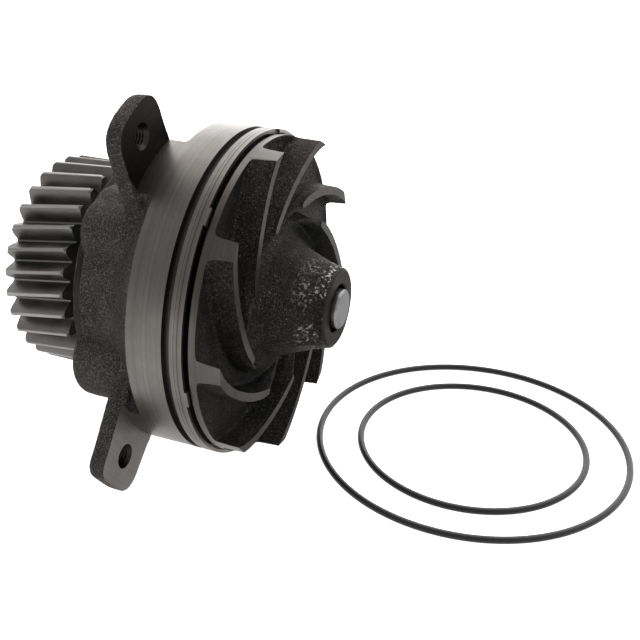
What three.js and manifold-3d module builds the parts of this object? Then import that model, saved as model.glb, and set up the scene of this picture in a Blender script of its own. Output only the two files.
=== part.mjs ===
// Gear-driven engine coolant pump, with its two loose sealing rings lying beside it.
// Millimetres. The shaft runs along X, the impeller is at the +X end, and Z is up.
// Angles around the shaft are in degrees from +Z towards -Y.
// Stations along the shaft are measured from the rear edge of the O-ring groove, and the whole
// group is then moved so that the origin is the centre of the shaft's front end face.
import * as THREE from 'three';
import { mergeVertices } from 'three/addons/utils/BufferGeometryUtils.js';
import Module from 'manifold-3d';

const wasm = await Module();
wasm.setup();

// ---------- Driving dimensions ----------
const GAP = 0.3;
const CUT = 2;

const PILOT = { r: 80, rear: -17, front: 9.7, lip: 1.6 };
const RECESS_X = 4;
const GROOVE = { width: 3.8, depth: 2.8 };
const NOSE = { r: 58.6, rear: -58.7 };
const BODY_R = 73;
const THREAD_R = 4.6;
const EAR = { front: -26.3, rear: -35.5, hole: 94.8, base: 50, chamferR: 6, chamfer: 1.4 };
// Half widths at base and tip, and corner size, of an ear's low-angle and high-angle sides.
const UPPER_EAR = { low: { base: 15.6, tip: 18, corner: 12 }, high: { base: 22, tip: 17, corner: 14 } };
const LOWER_EAR = { low: { base: 28, tip: 15.8, corner: 9 }, high: { base: 14.8, tip: 17.6, corner: 12 } };
const EARS = [
  { angle: 27.2, outer: 108.4, ...UPPER_EAR },
  { angle: 130.2, outer: 110, ...LOWER_EAR },
  { angle: 229.8, outer: 110, low: LOWER_EAR.high, high: LOWER_EAR.low },
];
const LOBES = [
  { angle: 47, centre: 52, r: 15.5, rear: -57.8 },
  { angle: 37, centre: 50, r: 14.5, rear: -57.6 },
  { angle: 120, centre: 52, r: 20, rear: -60 },
  { angle: 240, centre: 52, r: 20, rear: -60 },
];
const PADS = { count: 6, first: 43.5, halfWidth: 3, height: 1.2 };

const SHAFT_R = { gear: 17, rearSeat: 20, collar: 23.5, frontSeat: 15, seal: 13, impeller: 11.5, tip: 9.7 };
const SHAFT = { rear: -102.7, shoulder: 16.6, tip: 53.2, tipStep: 44 };

const GEAR = {
  teeth: 30, tipR: 53.2, rootR: 45.9, rear: -101, front: -68.8, phase: 6.4, twist: 5.6,
  rootShare: 0.42, tipShare: 0.06, webR: [24, 41], webDepth: 6,
};

const IMPELLER = {
  r: 77.8, back: 11, rim: 14.9, vaneTop: 26.8, vanes: 9, firstVane: 12.7, thickness: 3.8,
  vaneInner: 46.3, vaneRoot: 34, end: 50.9, endR: 18.8,
};
// Wrap of a vane in degrees, as a cubic of the fraction of the rim radius travelled inwards.
const VANE_WRAP = [103.7, -126.3, 454.6];

const REAR_BEARING = {
  prefix: 'rear', centre: -43, width: 18, bore: SHAFT_R.rearSeat, outer: 40, innerLand: 26.5, outerLand: 33.5,
  pitch: 30, ball: 5.5, balls: 9, shieldSide: -1,
};
const FRONT_BEARING = {
  prefix: 'front', centre: -20, width: 16, bore: SHAFT_R.frontSeat, outer: 31, innerLand: 20.2, outerLand: 25.8,
  pitch: 23, ball: 4.5, balls: 9, shieldSide: 1,
};
const CIRCLIP = { thickness: 1.9, inner: 35.5, outer: 42, gapDegrees: 36 };
const LIP_SEAL = { outer: 21, rear: -11.5, front: -4.5, wall: 1 };
const FACE_SEAL = { outer: 19, rear: 0, front: 8.5, wall: 1, flangeR: 22, ringInner: 14.5, ringOuter: 17.2 };
const MATING_RING = { inner: 13.6, outer: 20, rear: 12.2, front: 16.2 };

const RINGS = [
  { name: 'large_o_ring', r: 79.9, section: 3.5, x: 116.4, y: 34.1 },
  { name: 'small_o_ring', r: 58.2, section: 3.5, x: 116.7, y: 33.1 },
];

const FINE = 48;
const MEDIUM = 36;
const COARSE = 24;

// ---------- Finishes ----------
const finish = (color, roughness, metalness) => new THREE.MeshStandardMaterial({ color, roughness, metalness });
const CAST_IRON = finish(0x55524e, 0.75, 0.6);
const CAST_IMPELLER = finish(0x3c3a38, 0.8, 0.6);
const GEAR_STEEL = finish(0x77736e, 0.4, 0.9);
const GROUND_STEEL = finish(0xaaa8a4, 0.25, 0.95);
const PRESSED_STEEL = finish(0x8d8d8c, 0.45, 0.9);
const BRASS_CAGE = finish(0xa08a4e, 0.4, 0.9);
const RUBBER = finish(0x151515, 0.55, 0);
const CARBON = finish(0x242424, 0.5, 0.1);
const CERAMIC = finish(0xd8d4c8, 0.35, 0);

// ---------- Helpers ----------
const radians = THREE.MathUtils.degToRad;

// Point of the plan view (Y across, Z up) at a radius and an angle around the shaft.
function planPoint(r, degrees) {
  return new THREE.Vector2(-r * Math.sin(radians(degrees)), r * Math.cos(radians(degrees)));
}

// Merges shared vertices, drops collapsed triangles and turns the faces outwards.
function closed(geometry) {
  geometry.deleteAttribute('normal');
  geometry.deleteAttribute('uv');
  const merged = mergeVertices(geometry, 1e-4);
  const index = merged.index.array;
  const p = merged.attributes.position;
  const kept = [];
  const [a, b, c] = [new THREE.Vector3(), new THREE.Vector3(), new THREE.Vector3()];
  let volume = 0;
  for (let i = 0; i < index.length; i += 3) {
    const [ia, ib, ic] = [index[i], index[i + 1], index[i + 2]];
    if (ia === ib || ib === ic || ia === ic) continue;
    kept.push(ia, ib, ic);
    a.fromBufferAttribute(p, ia);
    b.fromBufferAttribute(p, ib);
    c.fromBufferAttribute(p, ic);
    volume += a.dot(b.cross(c));
  }
  if (volume < 0) kept.reverse();
  merged.setIndex(kept);
  return merged;
}

// Solid of revolution about X from [x, r] points. A profile off the axis closes on itself.
function turned(points, segments = COARSE) {
  const profile = points.map(([x, r]) => new THREE.Vector2(r, x));
  if (points[0][1] > 0) profile.push(profile[0].clone());
  return closed(new THREE.LatheGeometry(profile, segments).rotateZ(-Math.PI / 2));
}

// Plain ring between two stations and two radii.
function ringBody(x0, x1, inner, outer, segments = COARSE) {
  return turned([[x0, inner], [x0, outer], [x1, outer], [x1, inner]], segments);
}

function disc(x0, x1, r, segments = COARSE) {
  return turned([[x0, 0], [x0, r], [x1, r], [x1, 0]], segments);
}

// Plan-view outline extruded along X from x0 to x1.
function prism(points, x0, x1, steps = 1) {
  const shape = points instanceof THREE.Shape ? points : new THREE.Shape(points);
  const options = { depth: x1 - x0, steps, bevelEnabled: false, curveSegments: 4 };
  const body = new THREE.ExtrudeGeometry(shape, options);
  const toPlan = new THREE.Matrix4().makeBasis(
    new THREE.Vector3(0, 1, 0),
    new THREE.Vector3(0, 0, 1),
    new THREE.Vector3(1, 0, 0),
  );
  return closed(body.applyMatrix4(toPlan).translate(x0, 0, 0));
}

function toSolid(geometry) {
  const vertProperties = new Float32Array(geometry.attributes.position.array);
  const triVerts = new Uint32Array(geometry.index.array);
  return new wasm.Manifold(new wasm.Mesh({ numProp: 3, vertProperties, triVerts }));
}

function toGeometry(solid) {
  const mesh = solid.getMesh();
  const geometry = new THREE.BufferGeometry();
  geometry.setAttribute('position', new THREE.BufferAttribute(mesh.vertProperties, 3));
  geometry.setIndex(new THREE.BufferAttribute(mesh.triVerts, 1));
  return geometry;
}

// Joins the added geometries, then removes the cut ones.
function carve(added, cuts) {
  let solid = toSolid(added[0]);
  for (const geometry of added.slice(1)) solid = solid.add(toSolid(geometry));
  for (const geometry of cuts) solid = solid.subtract(toSolid(geometry));
  return toGeometry(solid);
}

const pump = new THREE.Group();
pump.position.x = -SHAFT.tip;

function place(name, geometry, material, x = 0, y = 0, z = 0) {
  const display = geometry.toNonIndexed();
  display.computeVertexNormals();
  const mesh = new THREE.Mesh(display, material);
  mesh.name = name;
  mesh.position.set(x, y, z);
  pump.add(mesh);
  return mesh;
}

// ---------- Housing ----------
function housingBlank() {
  const grooveBottom = PILOT.r - GROOVE.depth;
  return turned([
    [NOSE.rear, 0], [NOSE.rear, NOSE.r - 1], [NOSE.rear + 1, NOSE.r], [-44, NOSE.r], [-37, NOSE.r + 1.5],
    [-30, NOSE.r + 6], [-24, BODY_R - 2], [PILOT.rear - 1, BODY_R], [PILOT.rear, PILOT.r - 1],
    [PILOT.rear + 0.8, PILOT.r], [0, PILOT.r], [0, grooveBottom],
    [GROOVE.width, grooveBottom], [GROOVE.width, PILOT.r], [PILOT.front, PILOT.r],
    [PILOT.front, PILOT.r - PILOT.lip], [RECESS_X, PILOT.r - PILOT.lip - 0.8], [RECESS_X, 0],
  ], FINE);
}

// Ear outline in plan view: t runs around the pump at the ear's middle, r outwards.
function earOutline(ear) {
  const outward = planPoint(1, ear.angle);
  const sideways = planPoint(1, ear.angle + 90);
  const at = (t, r) => outward.clone().multiplyScalar(r).addScaledVector(sideways, t);
  const shape = new THREE.Shape();
  const corner = (t0, r0, t1, r1) => {
    const [control, end] = [at(t0, r0), at(t1, r1)];
    shape.quadraticCurveTo(control.x, control.y, end.x, end.y);
  };
  const line = (t, r) => {
    const end = at(t, r);
    shape.lineTo(end.x, end.y);
  };
  const { outer, low, high } = ear;
  const start = at(-low.base, EAR.base);
  shape.moveTo(start.x, start.y);
  line(-low.tip, outer - low.corner);
  corner(-low.tip, outer, low.corner - low.tip, outer);
  line(high.tip - high.corner, outer);
  corner(high.tip, outer, high.tip, outer - high.corner);
  line(high.base, EAR.base);
  return shape;
}

// The ear itself, and the part of the pilot ring that runs back to the ear's front face.
function earSolids(ear) {
  const blade = prism(earOutline(ear), EAR.rear, EAR.front);
  const root = toSolid(prism(earOutline(ear), EAR.rear + 1, PILOT.rear + CUT));
  const pilot = toSolid(disc(EAR.rear, PILOT.rear + CUT, PILOT.r - 0.05, FINE));
  return [blade, toGeometry(root.intersect(pilot))];
}

function threadedHole(ear) {
  const centre = planPoint(EAR.hole, ear.angle);
  const profile = [
    [EAR.rear - CUT, 0], [EAR.rear - CUT, THREAD_R], [EAR.front - EAR.chamfer, THREAD_R],
    [EAR.front, EAR.chamferR], [PILOT.front, EAR.chamferR], [PILOT.front, 0],
  ];
  return turned(profile, 20).translate(0, centre.x, centre.y);
}

function lobe({ angle, centre, r, rear }) {
  const middle = planPoint(centre, angle);
  const front = PILOT.rear + 1;
  const profile = [[rear, 0], [rear, r - 5], [rear + 1.5, r - 2], [rear + 5, r], [front, r], [front, 0]];
  return turned(profile, 28).translate(0, middle.x, middle.y);
}

// Raised stretch of the lip. It sits on the lip and is as wide as it.
function pad(k) {
  const angle = PADS.first + k * 360 / PADS.count;
  const outer = PILOT.r - GAP;
  const inner = PILOT.r - PILOT.lip + GAP / 2;
  const turn = PADS.halfWidth;
  const corners = [[inner, -turn], [outer, -turn], [outer, 0], [outer, turn], [inner, turn], [inner, 0]];
  const outline = corners.map(([r, offset]) => planPoint(r, angle + offset));
  return prism(outline, PILOT.front - 1, PILOT.front + PADS.height);
}

function housing() {
  const { centre: rearX, width: rearWidth } = REAR_BEARING;
  const { centre: frontX, width: frontWidth } = FRONT_BEARING;
  const rearStop = rearX + rearWidth / 2 + GAP;
  const frontStop = frontX + frontWidth / 2 + GAP;
  const clipX = rearX - rearWidth / 2 - GAP;
  const clipRear = clipX - CIRCLIP.thickness - GAP;
  const bore = turned([
    [NOSE.rear - CUT, 0], [NOSE.rear - CUT, REAR_BEARING.outer], [clipRear, REAR_BEARING.outer],
    [clipRear, CIRCLIP.outer + GAP], [clipX + GAP, CIRCLIP.outer + GAP],
    [clipX + GAP, REAR_BEARING.outer], [rearStop, REAR_BEARING.outer], [rearStop, FRONT_BEARING.outer],
    [frontStop, FRONT_BEARING.outer], [frontStop, LIP_SEAL.outer], [LIP_SEAL.front + GAP, LIP_SEAL.outer],
    [LIP_SEAL.front + GAP, 16.5], [FACE_SEAL.rear - GAP, 16.5], [FACE_SEAL.rear - GAP, FACE_SEAL.outer],
    [RECESS_X + CUT, FACE_SEAL.outer], [RECESS_X + CUT, 0],
  ], MEDIUM);
  const added = [
    housingBlank(), ...EARS.flatMap(earSolids), ...LOBES.map(lobe),
    ...Array.from({ length: PADS.count }, (_, k) => pad(k)),
  ];
  return carve(added, [bore, ...EARS.map(threadedHole)]);
}
place('housing', housing(), CAST_IRON);

// ---------- Rotor: shaft, gear, sleeve, impeller ----------
function shaft() {
  const rearSeat = REAR_BEARING.centre - REAR_BEARING.width / 2 - GAP;
  const collar = REAR_BEARING.centre + REAR_BEARING.width / 2 + GAP;
  const frontSeat = FRONT_BEARING.centre - FRONT_BEARING.width / 2 - GAP;
  const frontEnd = FRONT_BEARING.centre + FRONT_BEARING.width / 2;
  return turned([
    [SHAFT.rear + 4, 0], [SHAFT.rear, 3.5], [SHAFT.rear, SHAFT_R.gear - 1.5], [SHAFT.rear + 1.5, SHAFT_R.gear],
    [rearSeat, SHAFT_R.gear], [rearSeat, SHAFT_R.rearSeat], [collar, SHAFT_R.rearSeat],
    [collar, SHAFT_R.collar], [frontSeat, SHAFT_R.collar], [frontSeat, SHAFT_R.frontSeat],
    [frontEnd, SHAFT_R.frontSeat], [frontEnd + 1, SHAFT_R.seal], [SHAFT.shoulder, SHAFT_R.seal],
    [SHAFT.shoulder, SHAFT_R.impeller],
    [SHAFT.tipStep, SHAFT_R.impeller], [SHAFT.tipStep, SHAFT_R.tip], [SHAFT.tip - 0.9, SHAFT_R.tip],
    [SHAFT.tip, SHAFT_R.tip - 0.9], [SHAFT.tip, 0],
  ]);
}
place('shaft', shaft(), GROUND_STEEL);

// Tooth outline of the gear: root, flank, tip and the next root, for each tooth.
function gearOutline() {
  const pitch = 360 / GEAR.teeth;
  const flank = [[GEAR.rootR, GEAR.rootShare], [GEAR.tipR, GEAR.tipShare]];
  const points = [];
  for (let tooth = 0; tooth < GEAR.teeth; tooth += 1) {
    const middle = GEAR.phase + pitch * tooth;
    for (const [r, share] of flank) points.push(planPoint(r, middle - pitch * share));
    for (const [r, share] of [...flank].reverse()) points.push(planPoint(r, middle + pitch * share));
  }
  return points;
}

// Turns each vertex about X in step with its station, which makes the teeth helical.
function twisted(geometry, degreesPerMillimetre, x0) {
  const p = geometry.attributes.position;
  const v = new THREE.Vector3();
  const axis = new THREE.Vector3(1, 0, 0);
  for (let i = 0; i < p.count; i += 1) {
    v.fromBufferAttribute(p, i);
    v.applyAxisAngle(axis, radians(degreesPerMillimetre * (v.x - x0)));
    p.setXYZ(i, v.x, v.y, v.z);
  }
  return geometry;
}

function driveGear() {
  const width = GEAR.front - GEAR.rear;
  const blank = prism(gearOutline(), GEAR.rear, GEAR.front, 2);
  const teeth = twisted(blank, -GEAR.twist / width, GEAR.rear);
  const [webInner, webOuter] = GEAR.webR;
  const webs = [
    ringBody(GEAR.rear - CUT, GEAR.rear + GEAR.webDepth, webInner, webOuter),
    ringBody(GEAR.front - GEAR.webDepth, GEAR.front + CUT, webInner, webOuter),
    disc(GEAR.rear - CUT, GEAR.front + CUT, SHAFT_R.gear + GAP),
  ];
  return carve([teeth], webs);
}
place('drive_gear', driveGear(), GEAR_STEEL);

const sleeveRear = GEAR.front + GAP;
const sleeveFront = REAR_BEARING.centre - REAR_BEARING.width / 2 - 2 * GAP;
const sleeve = ringBody(sleeveRear, sleeveFront, SHAFT_R.gear + GAP, SHAFT_R.gear + 6.5);
place('spacer_sleeve', sleeve, PRESSED_STEEL);

function vaneAngle(r) {
  const inwards = (IMPELLER.r - r) / IMPELLER.r;
  return VANE_WRAP.reduce((sum, factor, i) => sum + factor * inwards ** (i + 1), 0);
}

// Plan view of one vane: a strip of even thickness along the vane's curve.
function vaneOutline(startAngle) {
  const radii = [80, 72, 64, 56, 48, 41, 35];
  const middle = radii.map((r) => planPoint(r, startAngle + vaneAngle(r)));
  const [left, right] = [[], []];
  middle.forEach((point, i) => {
    const before = middle[Math.max(i - 1, 0)];
    const after = middle[Math.min(i + 1, middle.length - 1)];
    const across = after.clone().sub(before).normalize().multiplyScalar(IMPELLER.thickness / 2);
    left.push(new THREE.Vector2(point.x - across.y, point.y + across.x));
    right.push(new THREE.Vector2(point.x + across.y, point.y - across.x));
  });
  return [...left, ...right.reverse()];
}

function impeller() {
  const { r, back, rim, vaneTop, vaneInner, vaneRoot, end, endR, vanes, firstVane } = IMPELLER;
  const envelope = toSolid(turned([
    [back + 1, 0], [back + 1, r - 0.1], [vaneTop, r - 0.1], [vaneTop, vaneInner], [rim + 3, vaneRoot],
    [rim + 3, 0],
  ], FINE));
  let blades = toSolid(prism(vaneOutline(firstVane), back, end));
  for (let k = 1; k < vanes; k += 1) {
    blades = blades.add(toSolid(prism(vaneOutline(firstVane + k * 360 / vanes), back, end)));
  }
  const bladed = toGeometry(blades.intersect(envelope));
  const plate = turned([
    [back, 0], [back, r - 0.8], [back + 0.8, r], [rim, r], [rim + 0.2, 52], [rim + 1, 42], [rim + 3.5, 34],
    [rim + 7, 29.5], [rim + 17, 25.3], [rim + 27, 21.5], [end - 1.5, 19.4], [end, endR - 0.5], [end, 0],
  ], FINE);
  const bore = turned([
    [back - CUT, 0], [back - CUT, MATING_RING.outer + GAP], [MATING_RING.front + GAP, MATING_RING.outer + GAP],
    [MATING_RING.front + GAP, SHAFT_R.seal + GAP], [SHAFT.shoulder + GAP, SHAFT_R.seal + GAP],
    [SHAFT.shoulder + GAP, SHAFT_R.impeller + GAP],
    [end + CUT, SHAFT_R.impeller + GAP], [end + CUT, 0],
  ]);
  return carve([plate, bladed], [bore]);
}
place('impeller', impeller(), CAST_IMPELLER);

// ---------- Bearings ----------
// Race surface opposite the balls: an arc of a circle a little larger than a ball.
function raceArc(bearing, land, side) {
  const radius = bearing.ball + 0.4;
  const reach = Math.sqrt(radius ** 2 - (land - bearing.pitch) ** 2);
  const steps = 4;
  const points = [];
  for (let i = 0; i <= steps; i += 1) {
    const x = reach * (2 * i / steps - 1);
    points.push([x, bearing.pitch + side * Math.sqrt(Math.max(radius ** 2 - x ** 2, 0))]);
  }
  return points;
}

function innerRing(bearing) {
  const half = bearing.width / 2;
  const { innerLand: land } = bearing;
  const bore = bearing.bore + GAP;
  return turned([[-half, bore], [-half, land], ...raceArc(bearing, land, -1), [half, land], [half, bore]]);
}

function outerRing(bearing) {
  const half = bearing.width / 2;
  const { outerLand: land } = bearing;
  const outside = bearing.outer - GAP;
  return turned([[-half, outside], [-half, land], ...raceArc(bearing, land, 1), [half, land], [half, outside]]);
}

function cage(bearing) {
  const half = bearing.ball + 1.6;
  const wall = 1.5;
  const sides = 8;
  const pocketR = (bearing.ball + GAP) / Math.cos(Math.PI / sides);
  const pockets = [];
  for (let k = 0; k < bearing.balls; k += 1) {
    const pocket = new THREE.CylinderGeometry(pocketR, pocketR, 12, sides);
    const middle = planPoint(bearing.pitch, k * 360 / bearing.balls);
    pocket.rotateX(Math.PI / 2).rotateX(radians(k * 360 / bearing.balls)).translate(0, middle.x, middle.y);
    pockets.push(closed(pocket));
  }
  return carve([ringBody(-half, half, bearing.pitch - wall, bearing.pitch + wall)], pockets);
}

function addBearing(bearing) {
  const { prefix, centre, pitch, balls, ball, shieldSide, width, innerLand, outerLand } = bearing;
  place(`${prefix}_bearing_inner_ring`, innerRing(bearing), GROUND_STEEL, centre);
  place(`${prefix}_bearing_outer_ring`, outerRing(bearing), GROUND_STEEL, centre);
  place(`${prefix}_bearing_cage`, cage(bearing), BRASS_CAGE, centre);
  const shield = ringBody(-0.4, 0.4, innerLand + 0.8, outerLand - GAP);
  place(`${prefix}_bearing_shield`, shield, PRESSED_STEEL, centre + shieldSide * (width / 2 - 0.5));
  for (let k = 0; k < balls; k += 1) {
    const middle = planPoint(pitch, k * 360 / balls);
    const sphere = closed(new THREE.SphereGeometry(ball, 8, 5));
    place(`${prefix}_ball_${k + 1}`, sphere, GROUND_STEEL, centre, middle.x, middle.y);
  }
}
addBearing(REAR_BEARING);
addBearing(FRONT_BEARING);

function circlip() {
  const half = CIRCLIP.gapDegrees / 2;
  const outline = new THREE.Shape();
  const start = radians(half);
  const finishAngle = radians(360 - half);
  outline.absarc(0, 0, CIRCLIP.outer, start, finishAngle, false);
  outline.absarc(0, 0, CIRCLIP.inner, finishAngle, start, true);
  const options = { depth: CIRCLIP.thickness, bevelEnabled: false, curveSegments: 24 };
  const body = new THREE.ExtrudeGeometry(outline, options);
  return closed(body.rotateY(Math.PI / 2));
}
const clipRear = REAR_BEARING.centre - REAR_BEARING.width / 2 - GAP - CIRCLIP.thickness;
place('bearing_circlip', circlip(), PRESSED_STEEL, clipRear);

// ---------- Seals ----------
function lipSealCase() {
  const outside = LIP_SEAL.outer - GAP;
  const inside = outside - LIP_SEAL.wall;
  const { rear, front, wall } = LIP_SEAL;
  return turned([
    [rear, inside], [rear, outside], [front, outside], [front, 16], [front - wall, 16], [front - wall, inside],
  ]);
}

function lipSealLip() {
  const inner = SHAFT_R.seal + GAP;
  const outside = LIP_SEAL.outer - 2 * GAP - LIP_SEAL.wall;
  const web = LIP_SEAL.front - LIP_SEAL.wall - GAP;
  return turned([
    [web - 1.5, outside], [web, outside], [web, inner + 1.2], [web - 3.4, inner],
    [web - 4.2, inner + 1.6], [web - 1.8, inner + 2.8],
  ]);
}
place('oil_seal_case', lipSealCase(), PRESSED_STEEL);
place('oil_seal_lip', lipSealLip(), RUBBER);

function faceSealCase() {
  const outside = FACE_SEAL.outer - GAP;
  const { rear, front, wall, flangeR } = FACE_SEAL;
  const floorInner = SHAFT_R.seal + 0.8;
  return turned([
    [rear, floorInner], [rear, outside], [RECESS_X + GAP, outside], [RECESS_X + GAP, flangeR],
    [RECESS_X + GAP + wall, flangeR], [RECESS_X + GAP + wall, outside], [front, outside],
    [front, outside - wall], [rear + wall, outside - wall], [rear + wall, floorInner],
  ]);
}

function bellows() {
  const inner = SHAFT_R.seal + 0.6;
  const rear = FACE_SEAL.rear + FACE_SEAL.wall + GAP;
  const { ringInner: root } = FACE_SEAL;
  return turned([
    [rear, inner], [rear, root + 2], [rear + 1.2, root + 2], [rear + 1.2, root], [rear + 3.6, root],
    [rear + 4.6, root + 1.2], [rear + 5.4, root + 1.2], [rear + 5.4, inner],
  ]);
}

// Coil spring around the bellows, ground flat by its short pitch.
function sealSpring() {
  const turns = 2;
  const wire = 0.45;
  const coilR = FACE_SEAL.ringInner + 2.3;
  const rear = FACE_SEAL.rear + FACE_SEAL.wall + 2.3;
  const points = [];
  const steps = turns * 16;
  for (let i = 0; i <= steps; i += 1) {
    const turn = i / 16;
    const spot = planPoint(coilR, turn * 360);
    points.push(new THREE.Vector3(rear + turn * 1.5, spot.x, spot.y));
  }
  const path = new THREE.CatmullRomCurve3(points);
  const section = [0, 1, 2, 3, 4].map((k) => new THREE.Vector2(
    wire * Math.cos(k * 2 * Math.PI / 5),
    wire * Math.sin(k * 2 * Math.PI / 5),
  ));
  const options = { steps, extrudePath: path, bevelEnabled: false };
  return closed(new THREE.ExtrudeGeometry(new THREE.Shape(section), options));
}

const carbonRear = FACE_SEAL.rear + FACE_SEAL.wall + 2 * GAP + 5.4;
const carbon = ringBody(carbonRear, MATING_RING.rear - GAP, FACE_SEAL.ringInner, FACE_SEAL.ringOuter);
const matingRing = ringBody(MATING_RING.rear, MATING_RING.front, MATING_RING.inner, MATING_RING.outer);
place('seal_case', faceSealCase(), PRESSED_STEEL);
place('seal_bellows', bellows(), RUBBER);
place('seal_spring', sealSpring(), GROUND_STEEL);
place('seal_carbon_ring', carbon, CARBON);
place('seal_mating_ring', matingRing, CERAMIC);

// ---------- Loose sealing rings, lying flat on the surface that the pilot ring rests on ----------
function sealingRing({ r, section }) {
  const sides = 6;
  const half = section / 2 / Math.cos(Math.PI / sides);
  const profile = [];
  for (let i = 0; i <= sides; i += 1) {
    const angle = (i + 0.5) * 2 * Math.PI / sides;
    profile.push(new THREE.Vector2(r + half * Math.cos(angle), half * Math.sin(angle)));
  }
  return closed(new THREE.LatheGeometry(profile, MEDIUM).rotateX(Math.PI / 2));
}
for (const ring of RINGS) {
  place(ring.name, sealingRing(ring), RUBBER, ring.x, ring.y, ring.section / 2 - PILOT.r);
}

export default pump;
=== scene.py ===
"""Looks for a gear-driven engine coolant pump and its two loose sealing rings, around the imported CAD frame.

The frame is in metres. Profiles here are in millimetres: [station, radius], where a station is the distance
along the shaft (+X) from the rear edge of the O-ring groove. Angles run round the shaft from +Z towards -Y.
"""
import math

import bmesh
import bpy
from mathutils import Matrix, Quaternion, Vector


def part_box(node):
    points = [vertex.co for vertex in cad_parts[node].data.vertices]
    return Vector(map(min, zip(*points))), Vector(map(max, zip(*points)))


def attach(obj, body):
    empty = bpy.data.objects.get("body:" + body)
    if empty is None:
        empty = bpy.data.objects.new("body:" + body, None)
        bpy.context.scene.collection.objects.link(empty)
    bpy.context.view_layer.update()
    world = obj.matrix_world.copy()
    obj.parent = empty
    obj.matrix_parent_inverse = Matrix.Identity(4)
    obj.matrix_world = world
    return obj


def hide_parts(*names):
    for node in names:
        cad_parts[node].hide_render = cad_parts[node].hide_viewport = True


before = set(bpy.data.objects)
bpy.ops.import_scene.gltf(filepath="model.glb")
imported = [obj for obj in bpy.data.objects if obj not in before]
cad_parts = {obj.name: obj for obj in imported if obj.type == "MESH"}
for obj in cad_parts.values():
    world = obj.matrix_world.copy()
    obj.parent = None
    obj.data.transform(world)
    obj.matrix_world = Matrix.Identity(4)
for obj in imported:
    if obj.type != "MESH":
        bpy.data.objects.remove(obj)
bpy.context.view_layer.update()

MM = 0.001
TIP = 53.2                                          # station of the shaft's front face
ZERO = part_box("shaft")[1].x - TIP * MM              # x of station 0
PILOT_R = 80.0                                      # pilot ring; also the shaft's height over the floor
FLOOR_Z = -PILOT_R * MM

PILOT_REAR, PILOT_FRONT, LIP, RECESS = -17.0, 9.7, 1.6, 4.0
GROOVE_WIDTH, GROOVE_DEPTH = 3.8, 2.8
LAND_LINES = (5.7, 7.4)                             # fine turned lines on the land in front of the groove, cut in the darker groove iron as painted shade
NOSE_R, NOSE_REAR, BODY_R = 58.6, -58.7, 73.0
EAR_FRONT, EAR_REAR, EAR_HOLE_R, EAR_BASE = -26.3, -35.5, 94.8, 50.0
THREAD_R, THREAD_PITCH, THREAD_DEPTH = 5.0, 1.5, 0.85
# "low" and "high" give half widths at base and tip, and corner size, of an ear's low- and high-angle sides.
EARS = [
    {"angle": 27.2, "outer": 108.2, "low": (15.6, 17.8, 12), "high": (22.0, 16.8, 14)},
    {"angle": 130.2, "outer": 109.8, "low": (28.0, 15.6, 9), "high": (14.8, 17.4, 12)},
    {"angle": 229.8, "outer": 109.8, "low": (14.8, 17.4, 12), "high": (28.0, 15.6, 9)},
]
LOBES = [  # angle, distance of the lobe's axis from the shaft, radius, station of its rear end
    (47, 52, 15.5, -57.7),
    (37, 50, 14.5, -57.5),
    (120, 52, 20.0, -59.9),
    (240, 52, 20.0, -59.9),
]
PADS, FIRST_PAD, PAD_HALF, PAD_HEIGHT = 6, 43.5, 3.0, 1.2

GEAR_TEETH, GEAR_TIP, GEAR_ROOT, GEAR_REAR, GEAR_FRONT = 30, 53.2, 45.9, -101.0, -68.8
GEAR_PHASE, GEAR_TWIST = 6.4, 5.6
GEAR_MIDDLE = (GEAR_REAR + GEAR_FRONT) / 2

SHAFT_REAR = -102.7
GEAR_SEAT_R, REAR_SEAT_R, COLLAR_R, FRONT_SEAT_R = 17, 20, 23.5, 15
SEAL_SEAT_R, HUB_SEAT_R, TIP_R = 13, 11.5, 9.7
REAR_BORE_R, FRONT_BORE_R, CIRCLIP_GROOVE_R = 40, 31, 42.3
OIL_SEAL_BORE_R, NECK_R, FACE_SEAL_BORE_R, MATING_RING_R = 21, 16.5, 19, 20

VANES, FIRST_VANE, VANE_INNER, VANE_ROOT, VANE_TOP = 9, 12.7, 46.3, 34.0, 26.8
VANE_WRAP = (103.7, -126.3, 454.6)                  # degrees; cubic in the share of the radius gone inwards
IMPELLER_R, IMPELLER_BACK, IMPELLER_RIM, HUB_END, HUB_END_R = 77.8, 11.0, 14.9, 50.9, 18.8
HUB_BORE = 11.8

BALLS = 9
BEARINGS = [
    {
        "name": "rear", "centre": -43.0, "width": 18, "bore": REAR_SEAT_R, "outer": REAR_BORE_R,
        "inner_land": 26.5, "outer_land": 33.5, "pitch": 30, "ball": 5.5, "shield_side": -1,
    },
    {
        "name": "front", "centre": -20.0, "width": 16, "bore": FRONT_SEAT_R, "outer": FRONT_BORE_R,
        "inner_land": 20.2, "outer_land": 25.8, "pitch": 23, "ball": 4.5, "shield_side": 1,
    },
]
LOOSE_RINGS = {"large_o_ring": 79.9, "small_o_ring": 58.2}
RING_SECTION = 3.5

ROOM_FRONT, ROOM_BACK, TABLE_GLOW = 0.75, 3.6, 1.0   # radiance of the room and of the translucent table
TOWARDS_BACK = (0.0, 0.85, 0.3)                     # direction of the room's bright wall


# ---------- Geometry helpers ----------
def at(station, radius, degrees):
    a = math.radians(degrees)
    return Vector((ZERO + station * MM, -radius * math.sin(a) * MM, radius * math.cos(a) * MM))


def new_object(name, mesh, materials=()):
    piece = bpy.data.objects.new(name, mesh)
    bpy.context.scene.collection.objects.link(piece)
    for material in materials:
        mesh.materials.append(material)
    return piece


def from_bmesh(name, bm, materials=()):
    bmesh.ops.recalc_face_normals(bm, faces=bm.faces)
    mesh = bpy.data.meshes.new(name)
    bm.to_mesh(mesh)
    bm.free()
    return new_object(name, mesh, materials)


def shade(piece, degrees=35):
    piece.data.shade_smooth()
    piece.data.set_sharp_from_angle(angle=math.radians(degrees))
    return piece


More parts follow.
